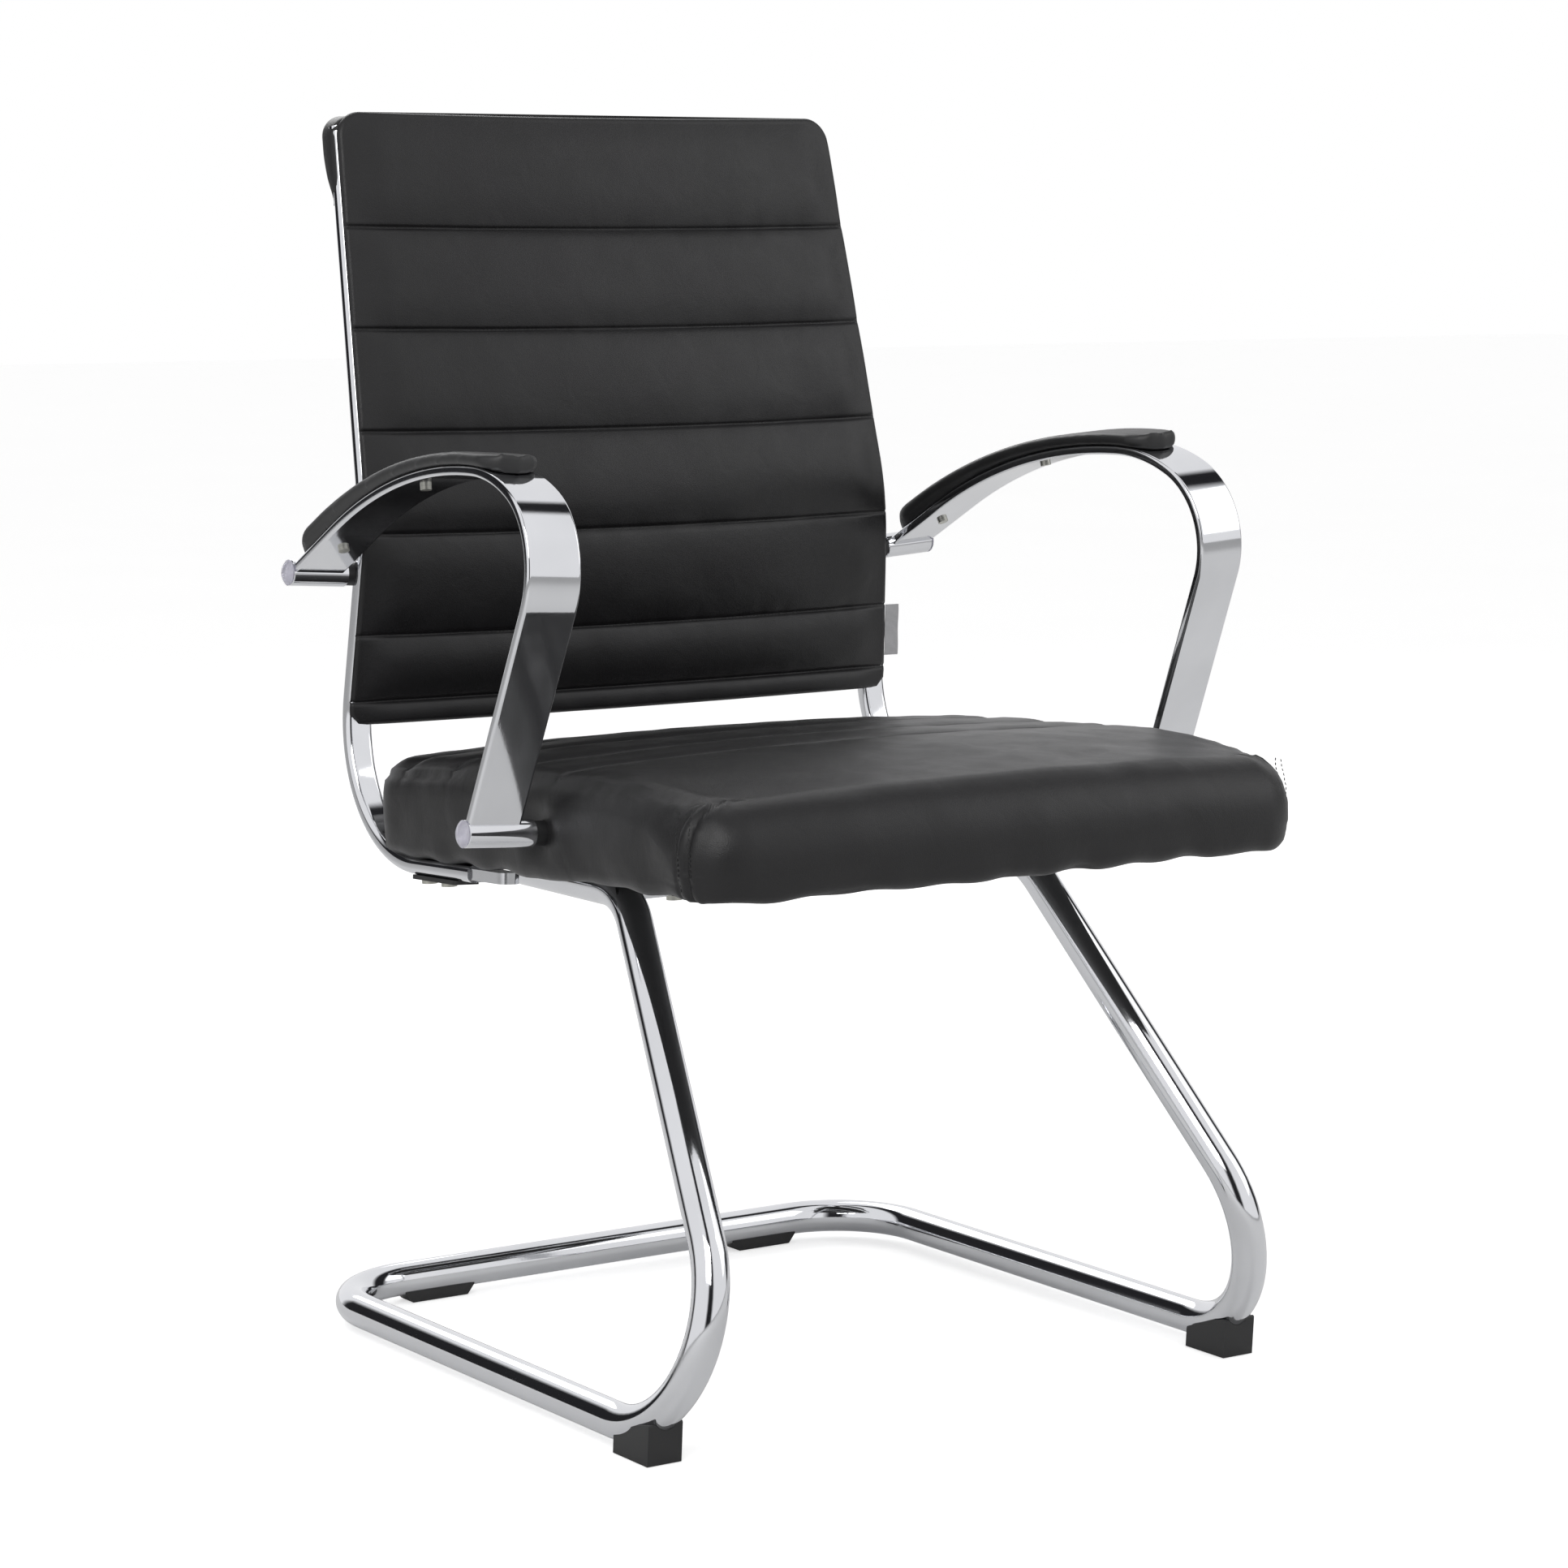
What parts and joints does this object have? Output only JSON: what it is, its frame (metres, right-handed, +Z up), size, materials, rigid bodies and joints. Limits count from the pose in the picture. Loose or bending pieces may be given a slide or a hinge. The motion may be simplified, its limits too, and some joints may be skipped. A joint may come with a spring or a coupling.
{
  "type": "visitor chair",
  "caption": "Cantilever visitor chair on a bent tube sled base, with a channelled seat, a ribbed back between side rails and padded loop arms.",
  "frame": {"origin": "on the floor, under the middle of the chair's bounding box", "axes": "+Z up, -Y towards the front of the seat, +X towards the sitter's left arm"},
  "size_m": [0.6298, 0.5748, 0.897],
  "materials": {
    "polished_steel": "mirror polished plating",
    "black_leatherette": "soft grain, satin",
    "black_rubber": "matt moulded",
    "black_plastic": "matt moulded",
    "clear_plastic": "clear, smooth",
    "zinc_steel": "zinc plated",
    "black_steel": "black powder coat",
    "plywood": "bare plywood",
    "foam": "open cell foam",
    "tab_ribbon": "woven satin ribbon, bare",
    "lining_cloth": "thin non-woven cloth"
  },
  "bodies": {
    "root": {"arm_bolts": "zinc_steel", "arm_boss_front_left": "polished_steel", "arm_boss_front_right": "polished_steel", "arm_boss_rear_left": "polished_steel", "arm_boss_rear_right": "polished_steel", "arm_bracket_left": "zinc_steel", "arm_bracket_right": "zinc_steel", "arm_left": "polished_steel", "arm_pad_left": "black_rubber", "arm_pad_right": "black_rubber", "arm_right": "polished_steel", "arm_spacer_front_left": "black_rubber", "arm_spacer_front_right": "black_rubber", "arm_spacer_rear_left": "black_rubber", "arm_spacer_rear_right": "black_rubber", "back_board": "plywood", "back_foam": "foam", "back_front_cover": "black_leatherette", "back_rear_cover": "black_leatherette", "boss_cap_front_left": "clear_plastic", "boss_cap_front_right": "clear_plastic", "boss_cap_rear_left": "clear_plastic", "boss_cap_rear_right": "clear_plastic", "foot_screws": "zinc_steel", "front_cross_tube": "polished_steel", "front_foot_left": "black_plastic", "front_foot_right": "black_plastic", "front_seat_bar": "black_steel", "pad_screws": "zinc_steel", "rail_bolts": "zinc_steel", "rail_plate_left": "black_steel", "rail_plate_right": "black_steel", "rail_tip_left": "polished_steel", "rail_tip_right": "polished_steel", "rear_cross_tube": "polished_steel", "rear_glide_left": "black_plastic", "rear_glide_right": "black_plastic", "rear_seat_bar": "black_steel", "seat_bolts": "zinc_steel", "seat_cover": "black_leatherette", "seat_foam": "foam", "seat_lining": "lining_cloth", "seat_pan": "plywood", "side_rail_left": "polished_steel", "side_rail_right": "polished_steel", "side_tab": "tab_ribbon", "sled_base": "polished_steel", "sled_cap_left": "black_plastic", "sled_cap_right": "black_plastic", "tee_nuts": "zinc_steel"}
  },
  "joints": []
}
